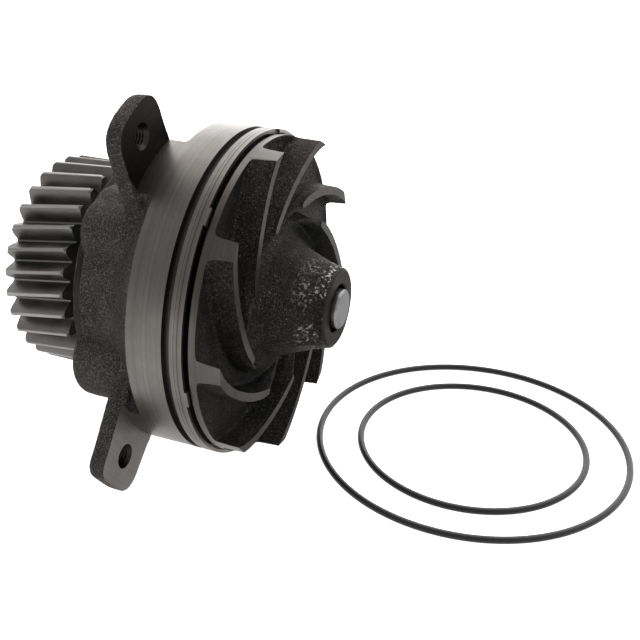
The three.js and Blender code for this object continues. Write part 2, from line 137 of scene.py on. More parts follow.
def bridge(bm, loops, wrap=False):
    """Joins loops of vertices with faces. A loop of one vertex is a pole."""
    pairs = list(zip(loops, loops[1:]))
    if wrap:
        pairs.append((loops[-1], loops[0]))
    for a, b in pairs:
        count = max(len(a), len(b))
        for k in range(count if count > 1 else 0):
            corners = [a[k % len(a)], a[(k + 1) % len(a)], b[(k + 1) % len(b)], b[k % len(b)]]
            face = list(dict.fromkeys(corners))
            if len(face) > 2:
                bm.faces.new(face)


def softened(profile, radius, steps=3):
    """The profile with each corner off the axis rounded by a small curve."""
    points = [Vector(p) for p in profile]
    wrap = profile[0][1] > 0
    result = []
    for i, p in enumerate(points):
        if not wrap and i in (0, len(points) - 1):
            result.append(p)
            continue
        before, after = points[i - 1] - p, points[(i + 1) % len(points)] - p
        reach = min(radius, 0.4 * before.length, 0.4 * after.length)
        start, end = p + before.normalized() * reach, p + after.normalized() * reach
        for k in range(steps + 1):
            t = k / steps
            result.append(start * (1 - t) ** 2 + p * 2 * t * (1 - t) + end * t * t)
    return [(v.x, v.y) for v in result]


def turned_bmesh(profile, segments=192, middle=(0, 0)):
    """Solid of revolution. middle moves its axis to (radius, angle) off the shaft."""
    bm = bmesh.new()
    offset = at(0, *middle) - at(0, 0, 0)
    loops = []
    for station, r in profile:
        count = segments if r > 0 else 1
        loops.append([bm.verts.new(at(station, r, 360 * k / segments) + offset) for k in range(count)])
    bridge(bm, loops, wrap=profile[0][1] > 0)
    return bm


def turned(name, profile, materials=(), segments=192, middle=(0, 0), soft=0.0):
    if soft:
        profile = softened(profile, soft)
    return from_bmesh(name, turned_bmesh(profile, segments, middle), materials)


def ring(x0, x1, inner, outer):
    return [(x0, inner), (x0, outer), (x1, outer), (x1, inner)]


def loft(name, stations, outline, materials=()):
    """Closed solid through outlines: outline(i) gives the (radius, angle) points at station i."""
    bm = bmesh.new()
    loops = [[bm.verts.new(at(s, r, a)) for r, a in outline(i)] for i, s in enumerate(stations)]
    bridge(bm, loops)
    bm.faces.new(loops[0])
    bm.faces.new(loops[-1])
    bmesh.ops.triangulate(bm, faces=[f for f in bm.faces if len(f.verts) > 4])
    return from_bmesh(name, bm, materials)


def apply_modifiers(piece):
    """Bakes the piece's modifiers into its mesh."""
    bpy.context.view_layer.update()
    graph = bpy.context.evaluated_depsgraph_get()
    baked = bpy.data.meshes.new_from_object(piece.evaluated_get(graph))
    old = piece.data
    piece.modifiers.clear()
    piece.data = baked
    baked.name = piece.name
    bpy.data.meshes.remove(old)
    return piece


def joined(name, pieces, materials=()):
    """One mesh object that holds several closed shells."""
    bm = bmesh.new()
    for piece in pieces:
        bm.from_mesh(piece.data)
        bpy.data.objects.remove(piece)
    return from_bmesh(name, bm, materials)


def cast_blank(piece, voxel, smoothing, grain):
    """Fuses the shells, rounds corners and valleys as a sand mould does, and adds the mould's unevenness."""
    remesh = piece.modifiers.new("fuse", "REMESH")
    remesh.mode = "VOXEL"
    remesh.voxel_size = voxel * MM
    relax = piece.modifiers.new("relax", "SMOOTH")
    relax.factor = 0.5
    relax.iterations = smoothing
    for scale, strength in grain:
        texture = bpy.data.textures.new(f"{piece.name}_{scale}", "CLOUDS")
        texture.noise_scale = scale * MM
        texture.noise_depth = 2
        wave = piece.modifiers.new("grain", "DISPLACE")
        wave.texture = texture
        wave.strength = strength * MM
        wave.texture_coords = "LOCAL"
    apply_modifiers(piece)
    return piece


def machine(blank, cutter, operation="DIFFERENCE"):
    """Cuts the blank. The cut faces take the cutter's material."""
    step = blank.modifiers.new("cut", "BOOLEAN")
    step.operation = operation
    step.solver = "MANIFOLD"
    step.material_mode = "TRANSFER"
    step.object = cutter
    apply_modifiers(blank)
    bpy.data.objects.remove(cutter)
    return blank


def finish_piece(piece, node, body, angle=35):
    """Smooths the piece, and makes it stand for a CAD node and move with a body."""
    shade(piece, angle)
    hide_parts(node)
    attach(piece, body)
    return piece


# ---------- Material helpers ----------
class Shader:
    """A material's node tree, with short calls for adding nodes to it."""

    def __init__(self, name, metallic, roughness, edge=1.0):
        self.material = bpy.data.materials.new(name)
        self.material.use_nodes = True
        self.tree = self.material.node_tree
        self.surface = self.tree.nodes["Principled BSDF"]
        self.surface.inputs["Metallic"].default_value = metallic
        self.surface.inputs["Roughness"].default_value = roughness
        self.surface.inputs["Specular Tint"].default_value = (edge, edge, edge, 1)
        self.here = self.node("ShaderNodeTexCoord").outputs["Object"]

    def node(self, kind, inputs=None, **settings):
        made = self.tree.nodes.new(kind)
        for key, value in settings.items():
            setattr(made, key, value)
        for key, value in (inputs or {}).items():
            if isinstance(value, bpy.types.NodeSocket):
                self.tree.links.new(value, made.inputs[key])
            else:
                made.inputs[key].default_value = value
        return made

    def math(self, operation, a, b=0.0):
        return self.node("ShaderNodeMath", {0: a, 1: b}, operation=operation).outputs[0]

    def noise(self, scale, detail=2.0, roughness=0.5):
        inputs = {"Vector": self.here, "Scale": scale, "Detail": detail, "Roughness": roughness}
        return self.node("ShaderNodeTexNoise", inputs).outputs["Fac"]

    def stripes(self, distance, scale, detail):
        """Noise that changes only with the distance given, as tool marks do."""
        inputs = {"W": distance, "Scale": scale, "Detail": detail}
        return self.node("ShaderNodeTexNoise", inputs, noise_dimensions="1D").outputs["Fac"]

    def span(self, value, low, high, to_low=0.0, to_high=1.0):
        inputs = {"Value": value, "From Min": low, "From Max": high, "To Min": to_low, "To Max": to_high}
        return self.node("ShaderNodeMapRange", inputs).outputs["Result"]

    def blend(self, factor, a, b):
        made = self.node("ShaderNodeMix", data_type="RGBA")
        sockets = {"Factor": 0, "A": 6, "B": 7}
        for key, value in (("Factor", factor), ("A", a), ("B", b)):
            socket = made.inputs[sockets[key]]
            if isinstance(value, bpy.types.NodeSocket):
                self.tree.links.new(value, socket)
            else:
                socket.default_value = value
        return made.outputs[2]

    def bump(self, height, strength, distance, onto=None):
        inputs = {"Height": height, "Strength": strength, "Distance": distance}
        if onto is not None:
            inputs["Normal"] = onto
        return self.node("ShaderNodeBump", inputs).outputs["Normal"]

    def set(self, socket, value):
        self.tree.links.new(value, self.surface.inputs[socket])

    def parts(self):
        """Position along the shaft, distance from it, and both added, in metres."""
        split = self.node("ShaderNodeSeparateXYZ", {0: self.here})
        across = self.math("SQRT", self.math(
            "ADD",
            self.math("POWER", split.outputs["Y"], 2.0),
            self.math("POWER", split.outputs["Z"], 2.0),
        ))
        along = split.outputs["X"]
        return along, across, self.math("ADD", along, across)


def grey(value, warm=0.0):
    return (value * (1 + warm), value, value * (1 - warm), 1)


def cast_iron(name, dark, light, highlight_from=None):
    """Sand-cast iron: granular skin with scattered bright grains, and painted highlight specks beyond a
    station if one is given.
    """
    m = Shader(name, 0.85, 0.55, edge=0.5)
    m.surface.inputs["Specular IOR Level"].default_value = 0.2
    grain = m.noise(1300, 3, roughness=0.75)
    flecks = m.noise(1900, 2)
    patches = m.noise(120, 2)
    cloud = m.noise(45, 3)
    tone = m.blend(m.span(cloud, 0.35, 0.65), grey(dark * 0.8, 0.04), grey(dark * 1.3, 0.07))
    tone = m.blend(m.span(grain, 0.5, 0.7), tone, grey(dark * 4.5, 0.06))
    sparkle = m.math("MULTIPLY", m.span(flecks, 0.60, 0.72), m.span(patches, 0.42, 0.60, 0.2, 1.0))
    tone = m.blend(sparkle, tone, grey(light, 0.03))
    # Painted highlight: bright specks round the hub towards its end stand for the sparkle of light along the
    # hub's top.
    if highlight_from:
        along, _, _ = m.parts()
        start = highlight_from - TIP
        reach = m.span(along, start * MM, (start + 14) * MM)
        marks = m.span(m.noise(620, 3), 0.53, 0.63)
        painted_highlight_specks = m.math("MULTIPLY", marks, m.span(m.noise(110, 2), 0.42, 0.56))
        tone = m.blend(m.math("MULTIPLY", painted_highlight_specks, reach), tone, grey(light * 1.7, 0.02))
    m.set("Base Color", tone)
    m.set("Roughness", m.span(grain, 0.3, 0.7, 0.66, 0.36))
    coarse = m.bump(m.noise(480, 3), 0.8, 0.0008)
    m.set("Normal", m.bump(grain, 1.0, 0.0006, onto=coarse))
    return m.material


def machined_iron(name, dark, light, edge=1.0):
    """Turned cast iron: fine lines round the shaft axis, faint staining, small open pores."""
    m = Shader(name, 1.0, 0.4, edge)
    _, _, feed = m.parts()
    lines = m.stripes(feed, 2600, 3)
    bands = m.stripes(feed, 420, 2)
    cloud = m.noise(35, 4, roughness=0.6)
    pores = m.noise(1700, 2)
    tone = m.blend(m.span(bands, 0.25, 0.75), grey(dark, 0.055), grey(light, 0.065))
    tone = m.blend(m.span(cloud, 0.4, 0.75, 0, 0.7), tone, grey(dark * 0.75, 0.13))
    tone = m.blend(m.span(pores, 0.68, 0.78, 0, 0.7), tone, grey(dark * 0.4))
    m.set("Base Color", tone)
    m.set("Roughness", m.span(m.math("ADD", cloud, lines), 0.7, 1.3, 0.30, 0.46))
    fine = m.bump(lines, 0.35, 0.00008)
    m.set("Normal", m.bump(pores, 0.25, 0.0001, onto=fine))
    return m.material


def steel(name, dark, light, roughness=0.3, warm=0.02, lines=900, highlight_above=None, edge=1.0):
    """Ground or hobbed steel: lines along the work, cloudy tone, and a painted highlight above a radius if
    one is given.
    """
    m = Shader(name, 1.0, roughness, edge)
    _, across, feed = m.parts()
    scratches = m.stripes(feed, lines, 4)
    cloud = m.noise(90, 4)
    tone = m.blend(m.span(cloud, 0.3, 0.7), grey(dark, warm), grey(light, warm))
    if highlight_above:
        # Painted highlight: everything above the radius, such as the gear's tooth tip lands, is made lighter
        # to stand for light caught along them.
        land = m.span(across, (highlight_above - 0.15) * MM, highlight_above * MM)
        tone = m.blend(land, tone, grey(min(1.0, light * 1.5), warm / 2))
    m.set("Base Color", tone)
    m.set("Roughness", m.span(cloud, 0.3, 0.7, roughness * 0.8, roughness * 1.25))
    m.set("Normal", m.bump(scratches, 0.2, 0.00005))
    return m.material


def plain(name, dark, light, metallic, roughness, scale=500, depth=0.3, gloss=0.5):
    """Fine-grained skin for rubber, carbon, ceramic, phosphate and brass, from two colours."""
    m = Shader(name, metallic, roughness)
    m.surface.inputs["Specular IOR Level"].default_value = gloss
    grain = m.noise(scale, 4)
    cloud = m.noise(scale / 12, 3)
    tone = m.blend(m.span(cloud, 0.3, 0.7), dark, light)
    m.set("Base Color", tone)
    m.set("Roughness", m.span(grain, 0.3, 0.7, roughness * 0.85, min(1.0, roughness * 1.2)))
    m.set("Normal", m.bump(grain, depth, 0.00006))
    return m.material


CAST = cast_iron("cast_housing_iron", 0.021, 0.13)
CAST_DARK = cast_iron("cast_impeller_iron", 0.0095, 0.16, highlight_from=HUB_END - 18)
MACHINED = machined_iron("machined_housing_iron", 0.085, 0.115)
MACHINED_DARK = machined_iron("machined_impeller_iron", 0.055, 0.072)
VANE_FACE = machined_iron("machined_vane_iron", 0.03, 0.044, edge=0.6)
# Darker copy of the machined iron for the O-ring groove and the fine land lines: painted shade in these
# recesses.
SHADED_GROOVE_IRON = machined_iron("machined_iron_groove_painted_shade", 0.035, 0.055)
# Dark copy of the machined iron: the real dark facing of the nose band and the hub's end, and painted shade
# on the upper ear's face, in the ear threads and in the impeller's bore.
DARK_AND_SHADED_IRON = machined_iron("dark_faced_iron_and_painted_shade", 0.014, 0.022, edge=0.5)
# The gear's tooth tips carry a painted highlight.
GEAR_STEEL = steel("gear_steel", 0.09, 0.13, 0.44, 0.03, 700, highlight_above=GEAR_TIP - 0.25, edge=0.8)
SHAFT_STEEL = steel("shaft_steel", 0.12, 0.17, 0.3, 0.0, 1500, edge=0.5)
BEARING_STEEL = steel("bearing_steel", 0.4, 0.5, 0.14, 0.0, 1500)
PRESSED_STEEL = steel("pressed_steel", 0.25, 0.33, 0.35, 0.02, 500)
PHOSPHATE = plain("black_phosphate", grey(0.02), grey(0.045), 0.4, 0.5)
BRASS = plain("cage_brass", (0.42, 0.30, 0.12, 1), (0.55, 0.42, 0.19, 1), 1.0, 0.3)
RING_RUBBER = plain("ring_rubber", grey(0.005), grey(0.009), 0.0, 0.4, 700, 0.12, gloss=0.25)
SEAL_RUBBER = plain("seal_rubber", grey(0.012), grey(0.02), 0.0, 0.6, gloss=0.3)
CARBON = plain("seal_carbon", grey(0.02), grey(0.035), 0.2, 0.35)
CERAMIC = plain("seal_ceramic", (0.62, 0.57, 0.48, 1), (0.72, 0.67, 0.58, 1), 0.0, 0.3, 900, 0.1)


# ---------- Housing ----------
def ear_outline(ear, inset=0.0, top=None):
    """(radius, angle) points round an ear. inset draws the outline in, and top cuts it off at that radius."""
    angle, outer = ear["angle"], ear["outer"] - inset
    low_base, low_tip, low_corner = ear["low"]
    high_base, high_tip, high_corner = ear["high"]
    flat = [(-(low_base - inset), EAR_BASE)]
    steps = 10

    def corner(t0, r0, control, t1, r1):
        for k in range(steps + 1):
            u = k / steps
            flat.append((
                t0 * (1 - u) ** 2 + control[0] * 2 * u * (1 - u) + t1 * u * u,
                r0 * (1 - u) ** 2 + control[1] * 2 * u * (1 - u) + r1 * u * u,
            ))

    low, high = low_tip - inset, high_tip - inset
    corner(-low, outer - low_corner, (-low, outer), low_corner - low, outer)
    corner(high - high_corner, outer, (high, outer), high, outer - high_corner)
    flat.append((high_base - inset, EAR_BASE))
    points = []
    for t, r in flat:
        r = min(r, top) if top else r
        points.append((math.hypot(t, r), angle + math.degrees(math.atan2(t, r))))
    return points


def upper_ear_face():
    """(radius, angle) points round the upper ear's front face, clear of the pilot ring."""
    outside = [(r, a) for r, a in ear_outline(EARS[0], -3) if r > PILOT_R + 2]
    low, high = outside[0][1], outside[-1][1]
    steps = 8
    return outside + [(PILOT_R + 0.05, high + (low - high) * k / steps) for k in range(steps + 1)]


def housing_shells():
    """Closed shells of the casting before machining, with about a millimetre of stock to turn off."""
    body = [
        (NOSE_REAR - 1.2, 0), (NOSE_REAR - 1.2, NOSE_R - 1), (NOSE_REAR + 2, NOSE_R + 0.3),
        (-44, NOSE_R + 0.3), (-37, NOSE_R + 1.5), (-30, NOSE_R + 6), (-24, BODY_R - 2),
        (PILOT_REAR - 0.6, BODY_R), (PILOT_REAR - 0.4, PILOT_R + 1.5), (PILOT_FRONT + 3, PILOT_R + 1.5),
        (PILOT_FRONT + 3, PILOT_R - LIP - 0.4), (RECESS, PILOT_R - LIP - 1.2), (RECESS, 0),
    ]
    shells = [turned("body", body, segments=256)]
    for angle, centre, r, rear in LOBES:
        dome = [
            (rear, 0), (rear, r * 0.72), (rear + 1, r - 2.6), (rear + 3, r - 0.6), (rear + 5, r + 0.2),
            (PILOT_REAR + 2, r + 0.4), (PILOT_REAR + 2, 0),
        ]
        shells.append(turned("lobe", dome, segments=64, middle=(centre, angle)))
    insets = (0, 0, 0.2, 0.9, 2.4)
    stations = (EAR_FRONT + 2, EAR_FRONT, EAR_REAR + 3, EAR_REAR + 0.8, EAR_REAR)
    root = (EAR_REAR + 3, PILOT_REAR + 3)
    for ear in EARS:
        shells.append(loft("ear", stations, lambda i, e=ear: ear_outline(e, insets[i])))
        shells.append(loft("ear_root", root, lambda i, e=ear: ear_outline(e, 0.2, PILOT_R + 2)))
    return shells


def threaded_cutter(ear, material):
    """Screw-shaped cutter with a chamfered mouth at the ear's front face."""
    mouth_r, mouth_depth = 6.0, 1.6
    centre = at(0, EAR_HOLE_R, ear["angle"]) - at(0, 0, 0)
    bm = bmesh.new()
    segments, step = 48, THREAD_PITCH / 8
    first, last = EAR_REAR - 2, EAR_FRONT + 1.5
    loops = []
    for i in range(int((last - first) / step) + 1):
        s = first + i * step
        depth = max(0.0, EAR_FRONT - s)
        mouth = mouth_r - depth if depth < mouth_depth else 0.0
        loop = []
        for k in range(segments):
            phase = (s / THREAD_PITCH + k / segments) % 1.0
            r = THREAD_R - THREAD_DEPTH * abs(2 * phase - 1)
            loop.append(bm.verts.new(at(s, max(r, mouth), 360 * k / segments) + centre))
        loops.append(loop)
    bridge(bm, loops)
    for end in (loops[0], loops[-1]):
        bm.faces.new(end)
    return from_bmesh("thread", bm, [material])


def lip_cutters(material):
    """Facing cut on the lip between the raised pads."""
    cutters = []
    for k in range(PADS):
        start = FIRST_PAD + 360 * k / PADS + PAD_HALF
        end = start + 360 / PADS - 2 * PAD_HALF
        steps = 40
        turn = [start + (end - start) * k / steps for k in range(steps + 1)]
        outline = [(PILOT_R - 6, a) for a in turn] + [(PILOT_R + 6, a) for a in reversed(turn)]
        cutters.append(loft("lip_cut", (PILOT_FRONT, PILOT_FRONT + 8), lambda i, o=outline: o, [material]))
    return cutters


def make_housing():
    housing = joined("housing_casting", housing_shells(), [CAST])
    cast_blank(housing, 0.8, 14, [(6, 0.35), (1.6, 0.22)])
    far = PILOT_R + 60
    front = PILOT_FRONT + 12
    groove = ring(0, GROOVE_WIDTH, PILOT_R - GROOVE_DEPTH, PILOT_R + 4)
    pad_tops = ring(PILOT_FRONT + PAD_HEIGHT, front, PILOT_R - 8, PILOT_R + 4)
    nose_face = ring(NOSE_REAR - 9, NOSE_REAR, 0, NOSE_R - 0.2)
    nose_band = ring(NOSE_REAR - 4, NOSE_REAR + 4, NOSE_R - 0.25, NOSE_R + 0.7)
    cutters = [
        turned("pilot_cut", ring(EAR_FRONT, front, PILOT_R, far), [MACHINED], 360),
        turned("groove_cut", groove, [SHADED_GROOVE_IRON], 360),
        turned("top_cut", pad_tops, [MACHINED], 360),
        turned("lip_bore_cut", ring(RECESS + 1.2, front, 60, PILOT_R - LIP), [MACHINED], 360),
        turned("nose_face_cut", nose_face, [DARK_AND_SHADED_IRON], 256),
        turned("nose_band_cut", nose_band, [DARK_AND_SHADED_IRON], 256),
    ]
    for start in LAND_LINES:
        line = ring(start, start + 0.2, PILOT_R - 0.15, PILOT_R + 1)
        cutters.append(turned("line_cut", line, [SHADED_GROOVE_IRON], 360))
    cutters += lip_cutters(MACHINED)
    ear_stations = (EAR_FRONT - 0.03, EAR_FRONT + 2)
    # Only the upper ear's face is cut in the dark iron: painted shade standing for the pilot ring's shadow
    # and its dark reflection on that face.
    cutters.append(loft("ear_face_cut", ear_stations, lambda i: upper_ear_face(), [DARK_AND_SHADED_IRON]))
    # The threaded holes take the dark iron too: painted shade inside the holes.
    cutters += [threaded_cutter(ear, DARK_AND_SHADED_IRON) for ear in EARS]
    bore = [
        (NOSE_REAR - 5, 0), (NOSE_REAR - 5, REAR_BORE_R + 1.2), (NOSE_REAR, REAR_BORE_R + 1.2),
        (NOSE_REAR + 1.2, REAR_BORE_R), (-54.5, REAR_BORE_R), (-54.5, CIRCLIP_GROOVE_R),
        (-52, CIRCLIP_GROOVE_R), (-52, REAR_BORE_R), (-33.7, REAR_BORE_R), (-33.7, FRONT_BORE_R),
        (-11.7, FRONT_BORE_R), (-11.7, OIL_SEAL_BORE_R), (-4.2, OIL_SEAL_BORE_R), (-4.2, NECK_R),
        (-0.3, NECK_R), (-0.3, FACE_SEAL_BORE_R), (RECESS + 3, FACE_SEAL_BORE_R), (RECESS + 3, 0),
    ]
    cutters.append(turned("bore_cut", bore, [MACHINED], 192))
    for cutter in cutters:
        machine(housing, cutter)
    finish_piece(housing, "housing", "housing", 40)


# ---------- Impeller ----------
def vane_angle(r):
    inwards = (IMPELLER_R - r) / IMPELLER_R
    return sum(factor * inwards ** (i + 1) for i, factor in enumerate(VANE_WRAP))


def vane_outline(start, half, inner, nose):
    """(radius, angle) points round a vane's plan. nose is the share of thickness left at its inner end."""
    outer, steps = 81.0, 32
    radii = [outer + (inner - outer) * k / steps for k in range(steps + 1)]
    middle = [at(0, r, start + vane_angle(r)).yz / MM for r in radii]
    left, right = [], []
    for i, point in enumerate(middle):
        along = (middle[min(i + 1, steps)] - middle[max(i - 1, 0)]).normalized()
        thin = half * min(1.0, nose + (radii[i] - inner) / 9)
        side = Vector((-along.y, along.x)) * thin
        left.append(point + side)
        right.append(point - side)
    return [(p.length, math.degrees(math.atan2(-p.x, p.y))) for p in left + right[::-1]]


def make_impeller():
    plate = [
        (IMPELLER_BACK - 1, 0), (IMPELLER_BACK - 1, IMPELLER_R + 1.5), (IMPELLER_RIM, IMPELLER_R + 1.5),
        (IMPELLER_RIM, IMPELLER_R - 1), (IMPELLER_RIM - 0.8, IMPELLER_R - 3), (IMPELLER_RIM - 0.8, 60),
        (IMPELLER_RIM, 46), (IMPELLER_RIM + 1.4, 39), (IMPELLER_RIM + 3.9, 33.4), (IMPELLER_RIM + 7, 29.6),
        (IMPELLER_RIM + 17, 25.4), (IMPELLER_RIM + 27, 21.6), (HUB_END - 1.5, 19.6), (HUB_END + 2, 19.2),
        (HUB_END + 2, 0),
    ]
    shells = [turned("plate", plate, segments=256)]
    foot = IMPELLER_RIM + 3
    sections = [  # station, half thickness, radius of the inner end, share of the thickness left there
        (IMPELLER_BACK + 1, 3.0, VANE_ROOT, 0.3),
        (IMPELLER_RIM, 2.7, VANE_ROOT, 0.3),
        (foot, 2.4, VANE_ROOT, 0.3),
        ((foot + VANE_TOP) / 2, 2.15, (VANE_ROOT + VANE_INNER) / 2, 0.35),
        (VANE_TOP - 1, 2.0, VANE_INNER - 1.2, 0.5),
        (VANE_TOP, 2.0, VANE_INNER - 0.5, 0.8),
        (VANE_TOP + 3, 2.0, VANE_INNER - 0.5, 0.8),
    ]
    stations = [section[0] for section in sections]
    for k in range(VANES):
        start = FIRST_VANE + 360 * k / VANES
        shells.append(loft("vane", stations, lambda i, a=start: vane_outline(a, *sections[i][1:])))
    impeller = joined("impeller_casting", shells, [CAST_DARK])
    cast_blank(impeller, 0.65, 6, [(5, 0.3), (1.3, 0.2)])
    clear = VANE_ROOT - 1
    envelope = [
        (IMPELLER_BACK, 0), (IMPELLER_BACK, IMPELLER_R - 0.8), (IMPELLER_BACK + 0.8, IMPELLER_R),
        (VANE_TOP, IMPELLER_R), (VANE_TOP, clear), (HUB_END - 0.8, clear),
        (HUB_END - 0.8, HUB_END_R + 0.3), (HUB_END, HUB_END_R - 0.5), (HUB_END, 0),
    ]
    machine(impeller, turned("envelope", envelope, [MACHINED_DARK], 360), "INTERSECT")
    hub_face = [
        (HUB_END - 0.1, 0), (HUB_END - 0.1, HUB_END_R - 0.45), (HUB_END - 0.95, HUB_END_R + 0.4),
        (HUB_END - 0.95, HUB_END_R + 3), (HUB_END + 3, HUB_END_R + 3), (HUB_END + 3, 0),
    ]
    machine(impeller, turned("hub_face", hub_face, [DARK_AND_SHADED_IRON], 128))
    vane_face = ring(VANE_TOP - 0.06, VANE_TOP + 3, clear, IMPELLER_R + 3)
    machine(impeller, turned("vane_face", vane_face, [VANE_FACE], 360))
    bore = [
        (IMPELLER_BACK - 3, 0), (IMPELLER_BACK - 3, MATING_RING_R + 0.3), (16.5, MATING_RING_R + 0.3),
        (16.5, SEAL_SEAT_R + 0.3), (16.9, SEAL_SEAT_R + 0.3), (16.9, HUB_BORE), (HUB_END - 0.8, HUB_BORE),
        (HUB_END + 2, HUB_BORE + 2.8), (HUB_END + 2, 0),
    ]
    # The bore takes the dark iron: painted shade round the shaft inside the hub.
    machine(impeller, turned("bore", bore, [DARK_AND_SHADED_IRON], 128))
    finish_piece(impeller, "impeller", "rotor", 40)


# ---------- Gear and shaft ----------
def gear_loop(station, tip):
    """(radius, angle) points round the teeth at a station. Nothing reaches beyond the tip radius given."""
    pitch = 360 / GEAR_TEETH
    turn = GEAR_PHASE - GEAR_TWIST * (station - GEAR_REAR) / (GEAR_FRONT - GEAR_REAR)
    flank = [  # radius, and half the tooth's thickness there as a share of the pitch
        (GEAR_ROOT, 0.46), (GEAR_ROOT + 0.35, 0.425), (GEAR_ROOT + 1.1, 0.385), (48.2, 0.335), (49.5, 0.275),
        (50.8, 0.21), (52.0, 0.135), (GEAR_TIP - 0.3, 0.08), (GEAR_TIP, 0.06),
    ]
    side = flank + [(r, -share) for r, share in reversed(flank)]
    points = []
    for tooth in range(GEAR_TEETH):
        points += [(min(r, tip), pitch * (tooth - share) + turn) for r, share in side]
    return points


def make_gear():
    bm = bmesh.new()
    bevel = 1.1
    steps = 14
    flat = GEAR_FRONT - GEAR_REAR - 2 * bevel
    stations = [(GEAR_REAR, GEAR_TIP - bevel), (GEAR_REAR + 0.35, GEAR_TIP - bevel + 0.4)]
    stations += [(GEAR_REAR + bevel + flat * k / steps, GEAR_TIP) for k in range(steps + 1)]
    stations += [(GEAR_FRONT - 0.35, GEAR_TIP - bevel + 0.4), (GEAR_FRONT, GEAR_TIP - bevel)]
    loops = [[bm.verts.new(at(s, r, a)) for r, a in gear_loop(s, tip)] for s, tip in stations]
    bridge(bm, loops)
    start_r, rim, hub, depth, hole = 44.5, 41, 24, 6, GEAR_SEAT_R + 0.3
    faces = [
        (GEAR_REAR, start_r), (GEAR_REAR, rim), (GEAR_REAR + depth, rim - 1), (GEAR_REAR + depth, hub + 1),
        (GEAR_REAR, hub), (GEAR_REAR, hole + 1), (GEAR_REAR + 1, hole), (GEAR_FRONT - 1, hole),
        (GEAR_FRONT, hole + 1), (GEAR_FRONT, hub), (GEAR_FRONT - depth, hub + 1),
        (GEAR_FRONT - depth, rim - 1), (GEAR_FRONT, rim), (GEAR_FRONT, start_r),
    ]
    inside = []
    for s, r in softened(faces, 1.2)[4:-4]:
        end = GEAR_REAR if s < GEAR_MIDDLE else GEAR_FRONT
        inside.append([bm.verts.new(at(s, r, a)) for _, a in gear_loop(end, 1)])
    bridge(bm, [loops[0], *inside, loops[-1]])
    gear = from_bmesh("drive_gear_steel", bm, [GEAR_STEEL])
    finish_piece(gear, "drive_gear", "rotor", 28)


def make_shaft():
    bar = [
        (SHAFT_REAR + 4, 0), (SHAFT_REAR, 3.5), (SHAFT_REAR, 15.5), (SHAFT_REAR + 1.5, GEAR_SEAT_R),
        (-52.3, GEAR_SEAT_R), (-52.3, REAR_SEAT_R), (-33.7, REAR_SEAT_R), (-33.7, COLLAR_R),
        (-28.3, COLLAR_R), (-28.3, FRONT_SEAT_R), (-12, FRONT_SEAT_R), (-11, SEAL_SEAT_R),
        (16.6, SEAL_SEAT_R), (16.6, HUB_SEAT_R), (44, HUB_SEAT_R), (44, TIP_R), (TIP - 0.9, TIP_R),
        (TIP, TIP_R - 0.9), (TIP, 0),
    ]
    shaft = turned("shaft_steel_bar", bar, [SHAFT_STEEL], 128, soft=0.25)
    finish_piece(shaft, "shaft", "rotor")
    tube = ring(-68.5, -52.6, GEAR_SEAT_R + 0.3, COLLAR_R)
    sleeve = turned("sleeve_tube", tube, [PRESSED_STEEL], 128, soft=0.6)
    finish_piece(sleeve, "spacer_sleeve", "rotor")


# ---------- Bearings ----------
def race(centre, land, pitch, ball, side):
    """Profile of a ball track's groove, cut into the inner (side -1) or outer (side 1) land."""
    radius = ball + 0.35
    reach = math.sqrt(radius ** 2 - (land - pitch) ** 2)
    steps = 10
    xs = [reach * (2 * k / steps - 1) for k in range(steps + 1)]
    return [(centre + x, pitch + side * math.sqrt(radius ** 2 - x * x)) for x in xs]


def make_cage(name, centre, pitch, ball):
    half, wall = ball + 1.5, 1.4
    tube = ring(centre - half, centre + half, pitch - wall, pitch + wall)
    cage = turned("cage_ring", tube, [BRASS], 128, soft=0.4)
    drill = (ball + 0.3) * MM
    for k in range(BALLS):
        angle = 360 * k / BALLS
        bm = bmesh.new()
        bmesh.ops.create_cone(bm, cap_ends=True, segments=32, radius1=drill, radius2=drill, depth=12 * MM)
        pocket = from_bmesh("pocket", bm, [BRASS])
        turn = Matrix.Rotation(math.radians(angle), 4, "X")
        pocket.data.transform(Matrix.Translation(at(centre, pitch, angle)) @ turn)
        machine(cage, pocket)
    cage.name = f"{name}_cage_brass"
    return cage


def make_bearing(name, centre, width, bore, outer, inner_land, outer_land, pitch, ball, shield_side):
    rear, front = centre - width / 2, centre + width / 2
    tracks = (
        ("inner", "rotor", bore + 0.3, inner_land, race(centre, inner_land, pitch, ball, -1)),
        ("outer", "housing", outer - 0.3, outer_land, race(centre, outer_land, pitch, ball, 1)),
    )
    for part, body, seat, land, track in tracks:
        profile = [(rear, seat), (rear, land), *track, (front, land), (front, seat)]
        made = turned(f"{name}_{part}_race", profile, [BEARING_STEEL], 128)
        finish_piece(made, f"{name}_bearing_{part}_ring", body, 30)
    middle = centre + shield_side * (width / 2 - 0.5)
    disc = ring(middle - 0.35, middle + 0.35, inner_land + 0.9, outer_land - 0.4)
    shield = turned(f"{name}_shield_disc", disc, [PRESSED_STEEL], 128, soft=0.25)
    finish_piece(shield, f"{name}_bearing_shield", "housing")
    cage = make_cage(name, centre, pitch, ball)
    finish_piece(cage, f"{name}_bearing_cage", f"{name}_cage", 30)
    for k in range(BALLS):
        bm = bmesh.new()
        place = Matrix.Translation(at(centre, pitch, 360 * k / BALLS))
        bmesh.ops.create_uvsphere(bm, u_segments=32, v_segments=20, radius=(ball - 0.05) * MM, matrix=place)
        sphere = from_bmesh(f"{name}_steel_ball_{k + 1}", bm, [BEARING_STEEL])
        finish_piece(sphere, f"{name}_ball_{k + 1}", f"{name}_cage", 60)


